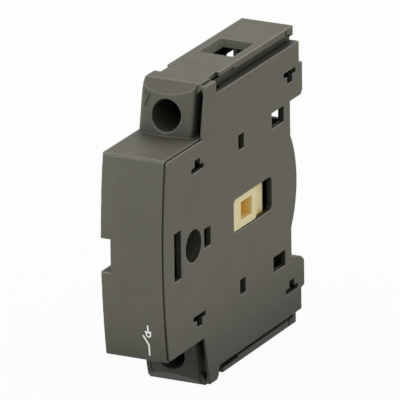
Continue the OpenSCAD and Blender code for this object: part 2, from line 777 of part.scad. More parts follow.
base_shell();
side_cover();
drive_slider();
contact_bar(-1);  // left_contact_bar
contact_bar(1);  // right_contact_bar
bar_spring(-1);  // left_bar_spring
bar_spring(1);  // right_bar_spring
fixed_contact();  // upper_fixed_contact
lower() fixed_contact();  // lower_fixed_contact
silver_facing();  // upper_silver_facing
lower() silver_facing();  // lower_silver_facing
arc_plate(1);  // upper_arc_plate_1
arc_plate(2);  // upper_arc_plate_2
arc_plate(3);  // upper_arc_plate_3
arc_plate(4);  // upper_arc_plate_4
lower() arc_plate(1);  // lower_arc_plate_1
lower() arc_plate(2);  // lower_arc_plate_2
lower() arc_plate(3);  // lower_arc_plate_3
lower() arc_plate(4);  // lower_arc_plate_4
terminal_cage();  // upper_terminal_cage
lower() terminal_cage();  // lower_terminal_cage
terminal_screw();  // upper_terminal_screw
lower() terminal_screw();  // lower_terminal_screw
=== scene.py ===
"""Looks of the additional switch pole.

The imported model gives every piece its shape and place. This file gives the pieces their finishes,
cuts the threads and recesses of the clamp screws, adds the contact sign and the terminal numbers,
and sets the floor, the light and the camera. Lengths named _mm are in millimetres, all others in
metres.
"""

import logging
import math
from dataclasses import dataclass, field
from enum import Enum
from typing import Union

import bmesh
import bpy
from mathutils import Matrix, Vector
from mathutils.bvhtree import BVHTree


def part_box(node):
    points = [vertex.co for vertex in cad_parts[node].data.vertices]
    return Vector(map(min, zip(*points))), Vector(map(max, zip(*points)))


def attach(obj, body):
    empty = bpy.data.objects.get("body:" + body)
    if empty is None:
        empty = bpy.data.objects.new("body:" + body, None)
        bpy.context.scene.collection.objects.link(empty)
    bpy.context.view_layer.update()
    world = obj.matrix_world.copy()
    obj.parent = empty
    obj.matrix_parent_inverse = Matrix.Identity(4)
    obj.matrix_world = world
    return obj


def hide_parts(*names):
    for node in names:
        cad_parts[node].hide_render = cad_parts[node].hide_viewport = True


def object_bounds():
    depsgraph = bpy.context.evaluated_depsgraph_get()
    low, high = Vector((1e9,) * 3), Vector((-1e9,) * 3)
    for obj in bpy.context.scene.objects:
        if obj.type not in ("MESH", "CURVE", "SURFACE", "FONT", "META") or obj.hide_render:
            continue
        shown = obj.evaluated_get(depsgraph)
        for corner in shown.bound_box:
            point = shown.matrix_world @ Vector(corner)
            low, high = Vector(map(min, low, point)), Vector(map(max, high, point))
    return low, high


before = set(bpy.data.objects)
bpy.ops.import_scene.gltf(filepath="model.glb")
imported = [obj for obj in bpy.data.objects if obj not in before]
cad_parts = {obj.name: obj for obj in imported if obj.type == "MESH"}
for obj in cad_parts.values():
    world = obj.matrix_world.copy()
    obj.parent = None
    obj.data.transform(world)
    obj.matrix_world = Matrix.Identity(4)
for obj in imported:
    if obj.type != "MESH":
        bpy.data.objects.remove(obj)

CAD_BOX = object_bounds()
LOG = logging.getLogger("switch_pole")
MM_PER_M = 1000.0
WHITE = "#ffffff"

Setting = Union[bpy.types.NodeSocket, float, tuple]


def mm(length: float) -> float:
    """Turns millimetres to metres."""
    return length / MM_PER_M


def per_mm(size_mm: float) -> float:
    """Texture scale at which one feature of a pattern measures size_mm."""
    return MM_PER_M / size_mm


def linear(colour: str) -> tuple[float, float, float, float]:
    """Turns an sRGB colour to linear light.

    Args:
        colour: six hex digits after a hash sign, such as "#6a6a60".

    Returns:
        Red, green, blue and an alpha of one.
    """
    shares = [int(colour[i:i + 2], 16) / 255.0 for i in (1, 3, 5)]
    red, green, blue = [s / 12.92 if s <= 0.04045 else ((s + 0.055) / 1.055) ** 2.4 for s in shares]
    return red, green, blue, 1.0


def add_node(tree: bpy.types.NodeTree, kind: str, inputs: dict[Union[str, int], Setting],
             **settings: object) -> bpy.types.Node:
    """Adds a node with its settings, values and links.

    Args:
        tree: the node tree that takes the node.
        kind: Blender's name for the node's type.
        inputs: a value or an output socket for each named or numbered input.
        **settings: attributes of the node itself.

    Returns:
        The new node.
    """
    node = tree.nodes.new(kind)
    for name, value in settings.items():
        setattr(node, name, value)
    for name, value in inputs.items():
        if isinstance(value, bpy.types.NodeSocket):
            tree.links.new(value, node.inputs[name])
        else:
            node.inputs[name].default_value = value
    return node


def rounding(tree: bpy.types.NodeTree,
             radius_mm: float) -> tuple[bpy.types.NodeSocket, bpy.types.NodeSocket]:
    """Rounds every edge in the shading.

    Args:
        tree: the node tree that takes the nodes.
        radius_mm: radius of the rounding.

    Returns:
        The rounded normal, and the cosine of its turn from the flat one.
    """
    soft = add_node(tree, "ShaderNodeBevel", {"Radius": mm(radius_mm)}, samples=6)
    flat = add_node(tree, "ShaderNodeNewGeometry", {})
    turn = add_node(tree, "ShaderNodeVectorMath",
                    {0: soft.outputs["Normal"], 1: flat.outputs["Normal"]}, operation="DOT_PRODUCT")
    return soft.outputs["Normal"], turn.outputs["Value"]


class Terminal(Enum):
    """The two ends of the pole; the value is the sign of the height."""

    UPPER = 1
    LOWER = -1


class Grain(Enum):
    """Axis along which a strip was rolled; the value stretches the pattern along it."""

    ALONG_X = (0.08, 1.0, 1.0)
    ALONG_Y = (1.0, 0.08, 1.0)
    ALONG_Z = (1.0, 1.0, 0.08)


@dataclass(frozen=True)
class PaintedHollowLight:
    """A second colour painted where little open sky reaches the surface, standing in for shade and, in
    pockets, for light that bounces between the walls.
    """

    shade: str
    reach_mm: float
    # Shares of open sky at which the colour starts to show and at which it shows most.
    starts_at: float
    most_at: float
    most: float = 1.0
    samples: int = 12

    def over(self, tree: bpy.types.NodeTree, colour: Setting) -> bpy.types.NodeSocket:
        """Adds the nodes that lay the hollow's painted colour over another.

        Args:
            tree: the node tree that takes the nodes.
            colour: colour of the open surface.

        Returns:
            The output that carries the mixed colour.
        """
        open_sky = add_node(tree, "ShaderNodeAmbientOcclusion", {"Distance": mm(self.reach_mm)},
                            samples=self.samples)
        share = add_node(tree, "ShaderNodeMapRange",
                         {"Value": open_sky.outputs["AO"], "From Min": self.starts_at,
                          "From Max": self.most_at, "To Max": self.most})
        return add_node(tree, "ShaderNodeMix",
                        {"Factor": share.outputs["Result"], "A": colour, "B": linear(self.shade)},
                        data_type="RGBA").outputs["Result"]


@dataclass(frozen=True)
class Finish:
    """A surface as it was made. Each kind of finish adds what its process leaves on the piece."""

    name: str

    def material(self) -> bpy.types.Material:
        """Returns a new material that shows this finish."""
        made = bpy.data.materials.new(self.name)
        made.use_nodes = True
        self.dress(made.node_tree, made.node_tree.nodes["Principled BSDF"])
        return made

    def dress(self, tree: bpy.types.NodeTree, shader: bpy.types.Node) -> None:
        """Adds the finish's nodes in front of the shader.

        Args:
            tree: the material's node tree.
            shader: the node that takes the finish's colour, roughness and normal.
        """
        raise NotImplementedError


@dataclass(frozen=True)
class SparkErodedNylon(Finish):
    """Glass filled nylon, dyed dark warm grey, moulded in a spark eroded tool.

    The eye sees a dull surface with a very fine even grain, faint clouds where the melt met,
    painted highlights on the edges, painted shade in the corners and in every hole and slot,
    and a thin dark seam where the two halves meet.
    """

    shade: str = "#575547"
    cloud: str = "#5c5a4c"
    cloud_mm: float = 7.0
    # Painted highlight: a pale colour on the rounded edges.
    painted_edge_highlight: str = "#cfcdc2"
    edge_highlight_most: float = 0.6
    # Cosines of the edge's turn at which the painted highlight starts to show and at which it shows most.
    edge_starts: float = 0.99
    edge_most: float = 0.89
    edge_r_mm: float = 0.4
    # The painted highlight is weaker on edges that face down or aside than on those that face up, where
    # the light from above falls. The heights of the normal say where the one kind ends and the other
    # starts.
    upright_highlight_share: float = 0.25
    upright_z: float = 0.1
    upward_z: float = 0.5
    # Painted shade: wide corners are painted a little darker than open faces, and holes and slots nearly
    # black.
    painted_hollow_shades: tuple[PaintedHollowLight, ...] = (
        PaintedHollowLight("#1f1e19", reach_mm=25.0, starts_at=0.95, most_at=0.52, most=0.9),
        PaintedHollowLight("#37352c", reach_mm=12.0, starts_at=0.6, most_at=0.4))
    seam: str = "#26251f"
    seam_most: float = 0.2
    # The halves meet at the right rim of the nose and, behind the nose, at the inside of the skin.
    nose_seam_x_mm: float = 7.0
    rear_seam_x_mm: float = 6.3
    nose_end_mm: float = -41.4
    seam_w_mm: float = 0.13
    # Real spark grain is near 0.1 mm; it is drawn five times as coarse so that it still shows.
    grain_mm: float = 0.5
    grain_depth_mm: float = 0.03
    grain_strength: float = 0.6
    roughness: float = 0.55
    roughness_swing: float = 0.08
    ior: float = 1.53
    # Matt spark grain scatters much of the reflection away.
    gloss: float = 0.28

    def dress(self, tree: bpy.types.NodeTree, shader: bpy.types.Node) -> None:
        """Adds clouds, grain, painted edge highlights, painted shade in the hollows and the seam.

        Args:
            tree: the material's node tree.
            shader: the node that takes the finish's colour, roughness and normal.
        """
        place = add_node(tree, "ShaderNodeTexCoord", {}).outputs["Object"]
        soft, turn = rounding(tree, self.edge_r_mm)
        clouds = add_node(tree, "ShaderNodeTexNoise",
                          {"Vector": place, "Scale": per_mm(self.cloud_mm), "Detail": 4.0,
                           "Roughness": 0.6})
        cloud_share = add_node(tree, "ShaderNodeMapRange",
                               {"Value": clouds.outputs["Fac"], "From Min": 0.35, "From Max": 0.65})
        body = add_node(tree, "ShaderNodeMix",
                        {"Factor": cloud_share.outputs["Result"], "A": linear(self.shade),
                         "B": linear(self.cloud)}, data_type="RGBA")
        highlighted = add_node(tree, "ShaderNodeMix",
                         {"Factor": self.edge_highlight_share(tree, soft, turn), "A": body.outputs["Result"],
                          "B": linear(self.painted_edge_highlight)}, data_type="RGBA")
        shaded = highlighted.outputs["Result"]
        for painted_shade in self.painted_hollow_shades:
            shaded = painted_shade.over(tree, shaded)
        seamed = add_node(tree, "ShaderNodeMix",
                          {"Factor": self.seam_share(tree, place), "A": shaded,
                           "B": linear(self.seam)}, data_type="RGBA")
        tree.links.new(seamed.outputs["Result"], shader.inputs["Base Color"])
        grain = add_node(tree, "ShaderNodeTexNoise",
                         {"Vector": place, "Scale": per_mm(self.grain_mm), "Detail": 3.0,
                          "Roughness": 0.65})
        dull = add_node(tree, "ShaderNodeMapRange",
                        {"Value": grain.outputs["Fac"], "To Min": self.roughness - self.roughness_swing,
                         "To Max": self.roughness + self.roughness_swing})
        tree.links.new(dull.outputs["Result"], shader.inputs["Roughness"])
        relief = add_node(tree, "ShaderNodeBump",
                          {"Height": grain.outputs["Fac"], "Distance": mm(self.grain_depth_mm),
                           "Strength": self.grain_strength, "Normal": soft})
        tree.links.new(relief.outputs["Normal"], shader.inputs["Normal"])
        shader.inputs["IOR"].default_value = self.ior
        shader.inputs["Specular IOR Level"].default_value = self.gloss

    def edge_highlight_share(self, tree: bpy.types.NodeTree, soft: bpy.types.NodeSocket,
                   turn: bpy.types.NodeSocket) -> bpy.types.NodeSocket:
        """Share of the painted edge highlight, largest on edges that face up.

        Args:
            tree: the node tree that takes the nodes.
            soft: the rounded normal.
            turn: cosine of the rounded normal's turn from the flat one.

        Returns:
            The output that carries the share.
        """
        edge = add_node(tree, "ShaderNodeMapRange",
                        {"Value": turn, "From Min": self.edge_starts, "From Max": self.edge_most,
                         "To Max": self.edge_highlight_most})
        facing = add_node(tree, "ShaderNodeSeparateXYZ", {"Vector": soft})
        upward = add_node(tree, "ShaderNodeMapRange",
                          {"Value": facing.outputs["Z"], "From Min": self.upright_z,
                           "From Max": self.upward_z, "To Min": self.upright_highlight_share, "To Max": 1.0})
        return add_node(tree, "ShaderNodeMath",
                        {0: edge.outputs["Result"], 1: upward.outputs["Result"]},
                        operation="MULTIPLY").outputs["Value"]

    def seam_share(self, tree: bpy.types.NodeTree, place: bpy.types.NodeSocket) -> bpy.types.NodeSocket:
        """Share of the seam's colour, largest along the line where the two halves meet.

        Args:
            tree: the node tree that takes the nodes.
            place: the point in the frame.

        Returns:
            The output that carries the share.
        """
        apart = add_node(tree, "ShaderNodeSeparateXYZ", {"Vector": place})
        behind = add_node(tree, "ShaderNodeMath", {0: apart.outputs["Y"], 1: mm(self.nose_end_mm)},
                          operation="GREATER_THAN")
        seam_x = add_node(tree, "ShaderNodeMapRange",
                          {"Value": behind.outputs["Value"], "To Min": mm(self.nose_seam_x_mm),
                           "To Max": mm(self.rear_seam_x_mm)})
        off = add_node(tree, "ShaderNodeMath", {0: apart.outputs["X"], 1: seam_x.outputs["Result"]},
                       operation="SUBTRACT")
        gap = add_node(tree, "ShaderNodeMath", {0: off.outputs["Value"]}, operation="ABSOLUTE")
        return add_node(tree, "ShaderNodeMapRange",
                        {"Value": gap.outputs["Value"], "From Min": mm(self.seam_w_mm),
                         "From Max": mm(self.seam_w_mm) / 3,
                         "To Max": self.seam_most}).outputs["Result"]


@dataclass(frozen=True)
class PolishedPolyester(Finish):
    """Cream polyester, moulded in a polished tool.

    The eye sees a clean, slightly waxy cream that light enters a little way, with a painted deeper,
    yellower colour in pockets that stands in for the light their walls shine on each other.
    """

    shade: str = "#ddd09a"
    # Painted light: pockets are painted a deeper yellow, standing in for light bounced between their walls.
    painted_pocket_glow: PaintedHollowLight = PaintedHollowLight("#f0c400", reach_mm=4.0, starts_at=0.75, most_at=0.3)
    # Painted highlight: a pale colour on the rounded rims.
    painted_rim_highlight: str = "#fff8dc"
    # Cosines of the edge's turn at which the painted rim highlight starts to show and at which it shows
    # most.
    rim_highlight_starts: float = 0.985
    rim_highlight_most: float = 0.85
    edge_r_mm: float = 0.25
    ripple_mm: float = 2.5
    ripple_depth_mm: float = 0.04
    ripple_strength: float = 0.3
    roughness: float = 0.36
    roughness_swing: float = 0.05
    ior: float = 1.57
    glow_share: float = 0.15
    glow_reach_mm: float = 0.6
    # Red light goes deepest into cream plastic, and blue light least.
    glow_reach: tuple[float, float, float] = (1.0, 0.8, 0.4)

    def dress(self, tree: bpy.types.NodeTree, shader: bpy.types.Node) -> None:
        """Adds the waxy depth, the painted deep pocket colour, the painted highlights on the rims and a
        faint ripple.

        Args:
            tree: the material's node tree.
            shader: the node that takes the finish's colour, roughness and normal.
        """
        place = add_node(tree, "ShaderNodeTexCoord", {}).outputs["Object"]
        soft, turn = rounding(tree, self.edge_r_mm)
        rim_highlight_share = add_node(tree, "ShaderNodeMapRange",
                             {"Value": turn, "From Min": self.rim_highlight_starts, "From Max": self.rim_highlight_most})
        rim_highlighted = add_node(tree, "ShaderNodeMix",
                          {"Factor": rim_highlight_share.outputs["Result"],
                           "A": self.painted_pocket_glow.over(tree, linear(self.shade)),
                           "B": linear(self.painted_rim_highlight)}, data_type="RGBA")
        tree.links.new(rim_highlighted.outputs["Result"], shader.inputs["Base Color"])
        ripple = add_node(tree, "ShaderNodeTexNoise",
                          {"Vector": place, "Scale": per_mm(self.ripple_mm), "Detail": 2.0})
        dull = add_node(tree, "ShaderNodeMapRange",
                        {"Value": ripple.outputs["Fac"], "To Min": self.roughness - self.roughness_swing,
                         "To Max": self.roughness + self.roughness_swing})
        tree.links.new(dull.outputs["Result"], shader.inputs["Roughness"])
        relief = add_node(tree, "ShaderNodeBump",
                          {"Height": ripple.outputs["Fac"], "Distance": mm(self.ripple_depth_mm),
                           "Strength": self.ripple_strength, "Normal": soft})
        tree.links.new(relief.outputs["Normal"], shader.inputs["Normal"])
        shader.inputs["IOR"].default_value = self.ior
        shader.inputs["Subsurface Weight"].default_value = self.glow_share
        shader.inputs["Subsurface Radius"].default_value = self.glow_reach
        shader.inputs["Subsurface Scale"].default_value = mm(self.glow_reach_mm)


@dataclass(frozen=True)
class SheetMetal(Finish):
    """Bare or plated sheet metal with the fine lines that rolling or drawing left.

    The eye sees long thin scratches that stretch each reflection, slow patches of tarnish, and
    painted shade on the metal at the bottom of a deep hole.
    """

    shade: str = "#b9bbbd"
    tarnish: str = "#8f9092"
    tarnish_most: float = 0.7
    patch_mm: float = 3.0
    # Painted shade: the metal that lies deep in the housing is painted dark.
    dull: PaintedHollowLight = PaintedHollowLight("#2a2925", reach_mm=8.0, starts_at=0.9, most_at=0.4, samples=8)
    grain: Grain = Grain.ALONG_Z
    # Rolling lines are near 0.02 mm; they are drawn at 0.15 mm so that they show.
    line_mm: float = 0.15
    line_depth_mm: float = 0.01
    line_strength: float = 0.5
    edge_r_mm: float = 0.12
    roughness: float = 0.32
    # The lines make the metal smoother in places by the first value and rougher by the second.
    roughness_swing: tuple[float, float] = (0.1, 0.14)

    def dress(self, tree: bpy.types.NodeTree, shader: bpy.types.Node) -> None:
        """Adds the rolling lines, the tarnish and the painted shade deep inside.

        Args:
            tree: the material's node tree.
            shader: the node that takes the finish's colour, roughness and normal.
        """
        place = add_node(tree, "ShaderNodeTexCoord", {}).outputs["Object"]
        stretched = add_node(tree, "ShaderNodeMapping", {"Vector": place, "Scale": self.grain.value})
        lines = add_node(tree, "ShaderNodeTexNoise",
                         {"Vector": stretched.outputs["Vector"], "Scale": per_mm(self.line_mm),
                          "Detail": 3.0})
        patches = add_node(tree, "ShaderNodeTexNoise",
                           {"Vector": place, "Scale": per_mm(self.patch_mm), "Detail": 3.0})
        share = add_node(tree, "ShaderNodeMapRange",
                         {"Value": patches.outputs["Fac"], "From Min": 0.4, "From Max": 0.7,
                          "To Max": self.tarnish_most})
        body = add_node(tree, "ShaderNodeMix",
                        {"Factor": share.outputs["Result"], "A": linear(self.shade),
                         "B": linear(self.tarnish)}, data_type="RGBA")
        tree.links.new(self.dull.over(tree, body.outputs["Result"]), shader.inputs["Base Color"])
        smoother, rougher = self.roughness_swing
        rough = add_node(tree, "ShaderNodeMapRange",
                         {"Value": lines.outputs["Fac"], "To Min": self.roughness - smoother,
                          "To Max": self.roughness + rougher})
        tree.links.new(rough.outputs["Result"], shader.inputs["Roughness"])
        soft = add_node(tree, "ShaderNodeBevel", {"Radius": mm(self.edge_r_mm)}, samples=4)
        relief = add_node(tree, "ShaderNodeBump",
                          {"Height": lines.outputs["Fac"], "Distance": mm(self.line_depth_mm),
                           "Strength": self.line_strength, "Normal": soft.outputs["Normal"]})
        tree.links.new(relief.outputs["Normal"], shader.inputs["Normal"])
        shader.inputs["Metallic"].default_value = 1.0


@dataclass(frozen=True)
class PadPrintedInk(Finish):
    """White ink, printed with a soft pad. The eye sees an even dull white, a little thin in spots."""

    shade: str = "#f2f1ea"
    thin_spot: str = "#c9c8c0"
    spot_mm: float = 0.4
    roughness: float = 0.5

    def dress(self, tree: bpy.types.NodeTree, shader: bpy.types.Node) -> None:
        """Adds the thin spots.

        Args:
            tree: the material's node tree.
            shader: the node that takes the finish's colour and roughness.
        """
        place = add_node(tree, "ShaderNodeTexCoord", {}).outputs["Object"]
        spots = add_node(tree, "ShaderNodeTexNoise",
                         {"Vector": place, "Scale": per_mm(self.spot_mm), "Detail": 2.0})
        share = add_node(tree, "ShaderNodeMapRange",
                         {"Value": spots.outputs["Fac"], "From Min": 0.55, "From Max": 0.8})
        body = add_node(tree, "ShaderNodeMix",
                        {"Factor": share.outputs["Result"], "A": linear(self.shade),
                         "B": linear(self.thin_spot)}, data_type="RGBA")
        tree.links.new(body.outputs["Result"], shader.inputs["Base Color"])
        shader.inputs["Roughness"].default_value = self.roughness


def coat(node: bpy.types.Object, material: bpy.types.Material) -> None:
    """Gives every material slot of an object one material.

    Args:
        node: the piece.
        material: the finish it gets.
    """
    if not node.material_slots:
        node.data.materials.append(material)
    for held in node.material_slots:
        held.material = material


def mesh_object(name: str, shape: bmesh.types.BMesh) -> bpy.types.Object:
    """Turns a finished bmesh into an object in the scene.

    Args:
        name: the piece's name.
        shape: the bmesh, which is freed.

    Returns:
        The new object, at the frame's origin.
    """
    bmesh.ops.recalc_face_normals(shape, faces=shape.faces)
    mesh = bpy.data.meshes.new(name)
    shape.to_mesh(mesh)
    shape.free()
    made = bpy.data.objects.new(name, mesh)
    bpy.context.scene.collection.objects.link(made)
    return made


@dataclass
class Housing:
    """The two moulded halves of the housing."""

    nylon: SparkErodedNylon = field(default_factory=lambda: SparkErodedNylon("dark_grey_nylon"))
    nodes: tuple[str, ...] = ("base_shell", "side_cover")

    def dress(self) -> None:
        """Gives both halves the same moulded nylon."""
        material = self.nylon.material()
        for name in self.nodes:
            coat(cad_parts[name], material)
            LOG.info("dressed %s", name)


@dataclass
class Drive:
    """The cream slider with its contact bars and their leaf springs."""

    polyester: PolishedPolyester = field(default_factory=lambda: PolishedPolyester("cream_polyester"))
    copper: SheetMetal = field(default_factory=lambda: SheetMetal(
        "rolled_copper_bar", shade="#c98a62", tarnish="#8d5738", grain=Grain.ALONG_Z))
    spring: SheetMetal = field(default_factory=lambda: SheetMetal(
        "bright_spring_steel", shade="#c4c6c8", tarnish="#9a9b9e", grain=Grain.ALONG_Z, roughness=0.25))

    def dress(self) -> None:
        """Finishes the slider, the bars and the springs."""
        coat(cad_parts["drive_slider"], self.polyester.material())
        LOG.info("dressed drive_slider")
        copper, spring = self.copper.material(), self.spring.material()
        for side in ("left", "right"):
            coat(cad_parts[f"{side}_contact_bar"], copper)
            coat(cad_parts[f"{side}_bar_spring"], spring)
            LOG.info("dressed the %s contact bar and its spring", side)


@dataclass
class FixedContacts:
    """Folded copper strips, their silver facings and the arc plates round the breaks."""

    copper: SheetMetal = field(default_factory=lambda: SheetMetal(
        "rolled_copper_strip", shade="#c8875f", tarnish="#875236", grain=Grain.ALONG_Y))
    silver: SheetMetal = field(default_factory=lambda: SheetMetal(
        "clad_silver", shade="#dedcd6", tarnish="#b5ae9c", grain=Grain.ALONG_Z, roughness=0.28))
    plate: SheetMetal = field(default_factory=lambda: SheetMetal(
        "zinc_plated_sheet", shade="#a3a5a8", tarnish="#76787b", grain=Grain.ALONG_X, roughness=0.38))
    plate_count: int = 4

    def dress(self) -> None:
        """Finishes the strips, facings and plates of both terminals."""
        copper, silver, plate = self.copper.material(), self.silver.material(), self.plate.material()
        for end in Terminal:
            where = end.name.lower()
            coat(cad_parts[f"{where}_fixed_contact"], copper)
            coat(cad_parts[f"{where}_silver_facing"], silver)
            for i in range(1, self.plate_count + 1):
                coat(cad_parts[f"{where}_arc_plate_{i}"], plate)
            LOG.info("dressed the %s contact and its arc plates", where)


@dataclass
class ClampScrew:
    """A clamp screw with a real thread, a slot and a cross recess, in the place of its plain solid."""

    end: Terminal
    zinc: SheetMetal
    pitch_mm: float = 0.8
    thread_depth_mm: float = 0.42
    shank_r_mm: float = 2.4
    head_r_mm: float = 3.2
    head_l_mm: float = 3.0
    head_bevel_mm: float = 0.5
    neck_mm: float = 0.5
    tip_mm: float = 0.6
    slot_w_mm: float = 1.0
    slot_depth_mm: float = 1.0
    cross_w_mm: float = 0.9
    cross_depth_mm: float = 1.8
    cross_l_mm: float = 3.4
    # How far the cutter stands out of the head, so that no thin skin stays.
    cutter_past_mm: float = 1.0
    # Step from the head's rim to its flat underside, small enough to look square.
    ledge_mm: float = 0.001
    around: int = 40
    rings_per_turn: int = 8

    def place(self) -> tuple[float, float, float, float]:
        """Returns the axis' x and z and the screw's front and back ends."""
        low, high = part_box(self.node())
        return (low.x + high.x) / 2, (low.z + high.z) / 2, low.y, high.y

    def node(self) -> str:
        """Name of the plain solid that the screw replaces."""
        return f"{self.end.name.lower()}_terminal_screw"

    def radius(self, y: float, front: float, back: float, turn: float) -> float:
        """Radius of the screw at one point.

        Args:
            y: distance of the point along the screw's axis.
            front: front end of the head.
            back: tip of the shank.
            turn: angle round the axis, in whole turns.

        Returns:
            The distance from the axis.
        """
        head_end = front + mm(self.head_l_mm)
        # The head has a bevelled rim, the tip of the shank is a cone, and the thread starts slowly.
        if y <= head_end:
            return mm(self.head_r_mm) - max(0.0, front + mm(self.head_bevel_mm) - y)
        smooth = mm(self.shank_r_mm) - max(0.0, y - (back - mm(self.tip_mm)))
        started = min(1.0, (y - head_end) / mm(self.neck_mm))
        wave = abs(2.0 * ((y / mm(self.pitch_mm) - turn) % 1.0) - 1.0)
        return smooth - mm(self.thread_depth_mm) * wave * started

    def stations(self, front: float, back: float) -> list[float]:
        """Places of the rings along the axis, close together on the thread.

        Args:
            front: front end of the head.
            back: tip of the shank.

        Returns:
            The places, from the front to the back.
        """
        head_end = front + mm(self.head_l_mm)
        step = mm(self.pitch_mm) / self.rings_per_turn
        count = int((back - head_end) / step)
        thread = [head_end + (back - head_end) * i / count for i in range(1, count + 1)]
        return [front, front + mm(self.head_bevel_mm), head_end, head_end + mm(self.ledge_mm), *thread]

    def turned(self) -> bmesh.types.BMesh:
        """Turns the screw round its axis.

        Returns:
            The closed screw before its recess is cut.
        """
        x, z, front, back = self.place()
        shape = bmesh.new()
        rings = []
        for y in self.stations(front, back):
            ring = []
            for i in range(self.around):
                turn = i / self.around
                r = self.radius(y, front, back, turn)
                angle = 2 * math.pi * turn
                ring.append(shape.verts.new((x + r * math.cos(angle), y, z + r * math.sin(angle))))
            rings.append(ring)
        for near, far in zip(rings, rings[1:]):
            for i in range(self.around):
                j = (i + 1) % self.around
                shape.faces.new((near[i], near[j], far[j], far[i]))
        shape.faces.new(rings[0])
        shape.faces.new(rings[-1])
        return shape

    def recess(self) -> bmesh.types.BMesh:
        """Makes the cutter for the head: a slot through it and a deeper cross.

        Returns:
            The three bars that are cut away.
        """
        x, z, front, _ = self.place()
        shape = bmesh.new()
        past = mm(self.cutter_past_mm)
        slot_l_mm = 2 * (self.head_r_mm + self.cutter_past_mm)
        bars_mm = ((slot_l_mm, self.slot_w_mm, self.slot_depth_mm),
                   (self.cross_l_mm, self.cross_w_mm, self.cross_depth_mm),
                   (self.cross_w_mm, self.cross_l_mm, self.cross_depth_mm))
        for wide, high, deep in bars_mm:
            size = Matrix.Diagonal((mm(wide), mm(deep) + past, mm(high), 1.0))
            where = Matrix.Translation((x, front + (mm(deep) - past) / 2, z))
            bmesh.ops.create_cube(shape, size=1.0, matrix=where @ size)
        return shape

    def build(self) -> bpy.types.Object:
        """Builds the screw, cuts its recess and puts it on its body.

        Returns:
            The finished screw.
        """
        where = self.end.name.lower()
        screw = mesh_object(f"{where}_threaded_screw", self.turned())
        cutter = mesh_object(f"{where}_recess_cutter", self.recess())
        cut = screw.modifiers.new("recess", "BOOLEAN")
        cut.operation = "DIFFERENCE"
        cut.solver = "EXACT"
        cut.use_self = True
        cut.object = cutter
        bpy.context.view_layer.update()
        evaluated = screw.evaluated_get(bpy.context.evaluated_depsgraph_get())
        finished = bpy.data.meshes.new_from_object(evaluated)
        screw.modifiers.clear()
        screw.data = finished
        bpy.data.objects.remove(cutter)
        coat(screw, self.zinc.material())
        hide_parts(self.node())
        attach(screw, f"{where}_screw")
        LOG.info("built %s with %d faces", screw.name, len(finished.polygons))
        return screw


@dataclass
class Terminals:
    """The box clamps and their screws."""

    clamp: SheetMetal = field(default_factory=lambda: SheetMetal(
        "yellow_passivated_steel", shade="#c6bd97", tarnish="#94885f", grain=Grain.ALONG_X, roughness=0.34))
    zinc: SheetMetal = field(default_factory=lambda: SheetMetal(
        "zinc_plated_screw", shade="#bfc1c2", tarnish="#93979a", grain=Grain.ALONG_Y, roughness=0.3))

    def build(self) -> None:
        """Finishes the clamps and builds the screws."""
        clamp = self.clamp.material()
        for end in Terminal:
            cage = f"{end.name.lower()}_terminal_cage"
            coat(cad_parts[cage], clamp)
            LOG.info("dressed %s", cage)
            ClampScrew(end, self.zinc).build()


@dataclass(frozen=True)
class Mark:
    """A sign of lines and rings that lies on the faces at the front of the housing.

    Places are millimetres across the pole and up. A ring is its centre and its radius.
    """

    name: str
    finish: Finish
    lines_mm: tuple[tuple[tuple[float, float], tuple[float, float]], ...] = ()
    rings_mm: tuple[tuple[float, float, float], ...] = ()
    stroke_mm: float = 0.34
    ring_share: float = 0.8
    proud_mm: float = 0.02
    ring_sides: int = 28
    step_mm: float = 0.5
    # How far in front of the pole the search for its face starts.
    search_mm: float = 10.0

    def on_front(self, tree: BVHTree, across: float, up: float, proud: float) -> Vector:
        """Point over the front face.

        Args:
            tree: the housing's faces.
            across: place across the pole.
            up: height.
            proud: how far the point stands in front of the face.

        Returns:
            The point in the frame.
        """
        start = Vector((across, CAD_BOX[0].y - mm(self.search_mm), up))
        hit = tree.ray_cast(start, Vector((0, 1, 0)))[0]
        return hit - Vector((0, proud, 0))

    def ribbon(self, shape: bmesh.types.BMesh, tree: BVHTree, left: list[Vector], right: list[Vector],
               closed: bool) -> None:
        """Adds one closed stroke between two edges, half sunk into the face.

        Args:
            shape: the bmesh that takes the stroke.
            tree: the housing's faces.
            left: points along one edge, as across and up.
            right: the same number of points along the other edge.
            closed: whether the stroke runs round into itself.
        """
        rows = []
        proud = mm(self.proud_mm)
        for a, b in zip(left, right):
            rows.append([shape.verts.new(self.on_front(tree, p.x, p.y, height))
                         for p, height in ((a, proud), (b, proud), (b, -proud), (a, -proud))])
        pairs = list(zip(rows, rows[1:] + rows[:1] if closed else rows[1:]))
        for near, far in pairs:
            for i in range(4):
                j = (i + 1) % 4
                shape.faces.new((near[i], near[j], far[j], far[i]))
        if not closed:
            shape.faces.new(rows[0])
            shape.faces.new(rows[-1])

    def build(self) -> bpy.types.Object:
        """Builds the mark and puts it on the housing.

        Returns:
            The finished mark.
        """
        front = BVHTree.FromObject(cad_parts["base_shell"], bpy.context.evaluated_depsgraph_get())
        shape = bmesh.new()
        half = mm(self.stroke_mm) / 2
        for start_mm, end_mm in self.lines_mm:
            start, end = Vector(start_mm) / MM_PER_M, Vector(end_mm) / MM_PER_M
            along = (end - start).normalized()
            aside = Vector((-along.y, along.x)) * half
            count = max(2, round((end - start).length / mm(self.step_mm)))
            points = [start.lerp(end, i / count) for i in range(count + 1)]
            self.ribbon(shape, front, [p + aside for p in points], [p - aside for p in points], False)
        spokes = [Vector((math.cos(a), math.sin(a)))
                  for a in (2 * math.pi * i / self.ring_sides for i in range(self.ring_sides))]
        for across, up, radius in self.rings_mm:
            centre = Vector((mm(across), mm(up)))
            outer, inner = mm(radius) + half * self.ring_share, mm(radius) - half * self.ring_share
            self.ribbon(shape, front, [centre + s * outer for s in spokes],
                        [centre + s * inner for s in spokes], True)
        made = mesh_object(self.name, shape)
        coat(made, self.finish.material())
        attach(made, "housing")
        LOG.info("drew %s", made.name)
        return made


